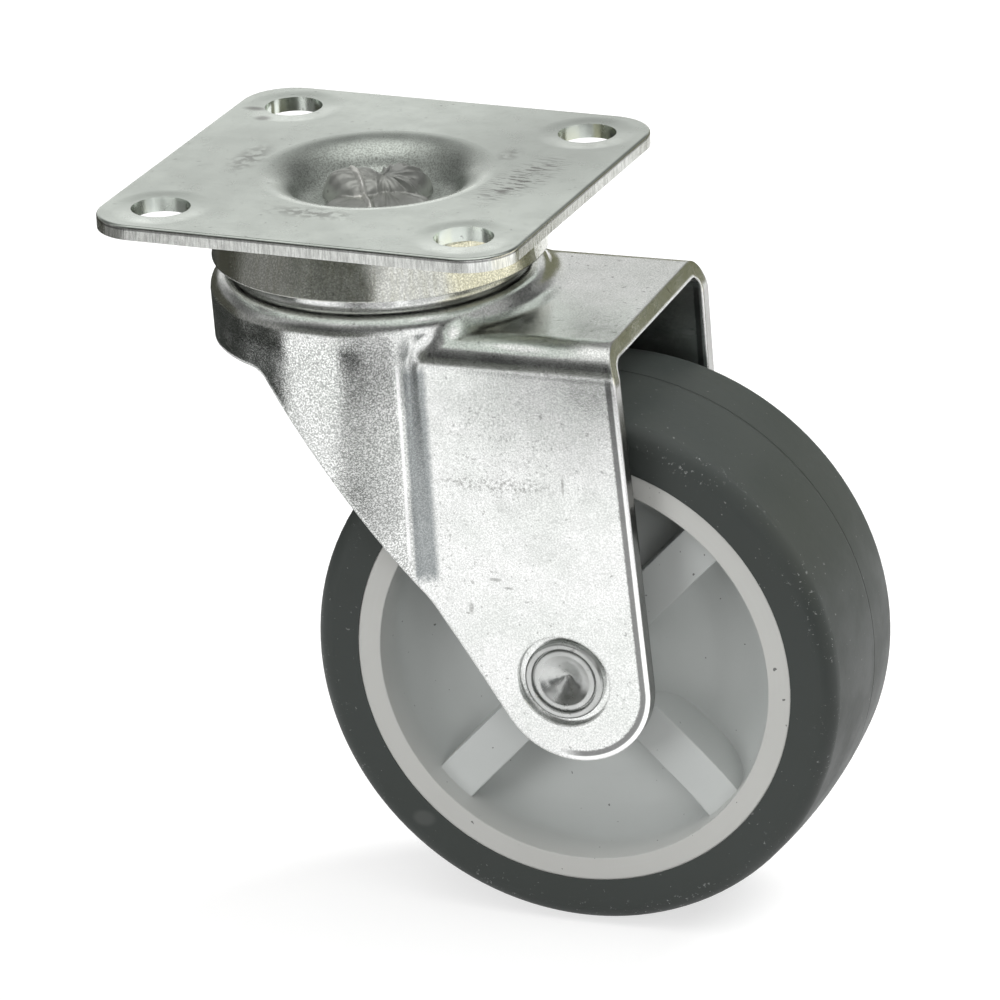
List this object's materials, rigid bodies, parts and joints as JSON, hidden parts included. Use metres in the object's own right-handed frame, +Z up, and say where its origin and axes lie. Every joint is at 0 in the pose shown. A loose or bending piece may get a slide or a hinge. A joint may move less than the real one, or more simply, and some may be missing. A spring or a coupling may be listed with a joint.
{
  "type": "swivel castor",
  "caption": "Small swivel castor: a square bolt-on top plate, a pressed steel fork on ball races, and a trailing wheel with a rubber tyre on a ribbed plastic core.",
  "frame": {"origin": "centre of the plate's top face, on the swivel axis", "axes": "+Z up out of the mounting face, +X the way the wheel trails when the fork is square to the plate, +Y to its left"},
  "size_m": [0.0976, 0.06, 0.1018],
  "materials": {
    "plate_zinc": "zinc plated, lightly worn",
    "race_zinc": "zinc plated, satin",
    "fork_zinc": "zinc plated, grainy, lightly scratched",
    "pin_steel": "dull, as forged",
    "rivet_steel": "satin, ringed by the riveting tool",
    "sleeve_steel": "smooth",
    "ball_steel": "polished",
    "core_plastic": "satin grey",
    "tyre_rubber": "matt dark grey"
  },
  "bodies": {
    "plate": {"top_plate": "plate_zinc", "race_cup": "race_zinc", "kingpin": "pin_steel", "lower_race": "race_zinc"},
    "upper_balls": {"upper_ball_01": "ball_steel", "upper_ball_02": "ball_steel", "upper_ball_03": "ball_steel", "upper_ball_04": "ball_steel", "upper_ball_05": "ball_steel", "upper_ball_06": "ball_steel", "upper_ball_07": "ball_steel", "upper_ball_08": "ball_steel", "upper_ball_09": "ball_steel", "upper_ball_10": "ball_steel", "upper_ball_11": "ball_steel", "upper_ball_12": "ball_steel", "upper_ball_13": "ball_steel", "upper_ball_14": "ball_steel", "upper_ball_15": "ball_steel", "upper_ball_16": "ball_steel", "upper_ball_17": "ball_steel", "upper_ball_18": "ball_steel", "upper_ball_19": "ball_steel", "upper_ball_20": "ball_steel", "upper_ball_21": "ball_steel"},
    "lower_balls": {"lower_ball_01": "ball_steel", "lower_ball_02": "ball_steel", "lower_ball_03": "ball_steel", "lower_ball_04": "ball_steel", "lower_ball_05": "ball_steel", "lower_ball_06": "ball_steel", "lower_ball_07": "ball_steel", "lower_ball_08": "ball_steel", "lower_ball_09": "ball_steel", "lower_ball_10": "ball_steel", "lower_ball_11": "ball_steel", "lower_ball_12": "ball_steel", "lower_ball_13": "ball_steel", "lower_ball_14": "ball_steel", "lower_ball_15": "ball_steel", "lower_ball_16": "ball_steel"},
    "fork": {"fork": "fork_zinc", "axle_rivet": "rivet_steel", "axle_sleeve": "sleeve_steel"},
    "wheel": {"wheel_core": "core_plastic", "tyre": "tyre_rubber"}
  },
  "joints": [
    {"name": "swivel", "type": "hinge", "parent": "plate", "child": "fork", "pos_m": [0, 0, -0.014], "axis": [0, 0, 1], "continuous": true},
    {"name": "upper_race_turn", "type": "hinge", "parent": "plate", "child": "upper_balls", "pos_m": [0, 0, -0.0062], "axis": [0, 0, 1], "continuous": true},
    {"name": "lower_race_turn", "type": "hinge", "parent": "plate", "child": "lower_balls", "pos_m": [0, 0, -0.0153], "axis": [0, 0, 1], "continuous": true},
    {"name": "wheel_spin", "type": "hinge", "parent": "fork", "child": "wheel", "pos_m": [0.02996, 0.00157, -0.0643], "axis": [-0.0523, 0.9986, 0], "continuous": true}
  ],
  "couplings": [
    {"joint": "upper_race_turn", "follows": "swivel", "ratio": 0.5},
    {"joint": "lower_race_turn", "follows": "swivel", "ratio": 0.5}
  ]
}
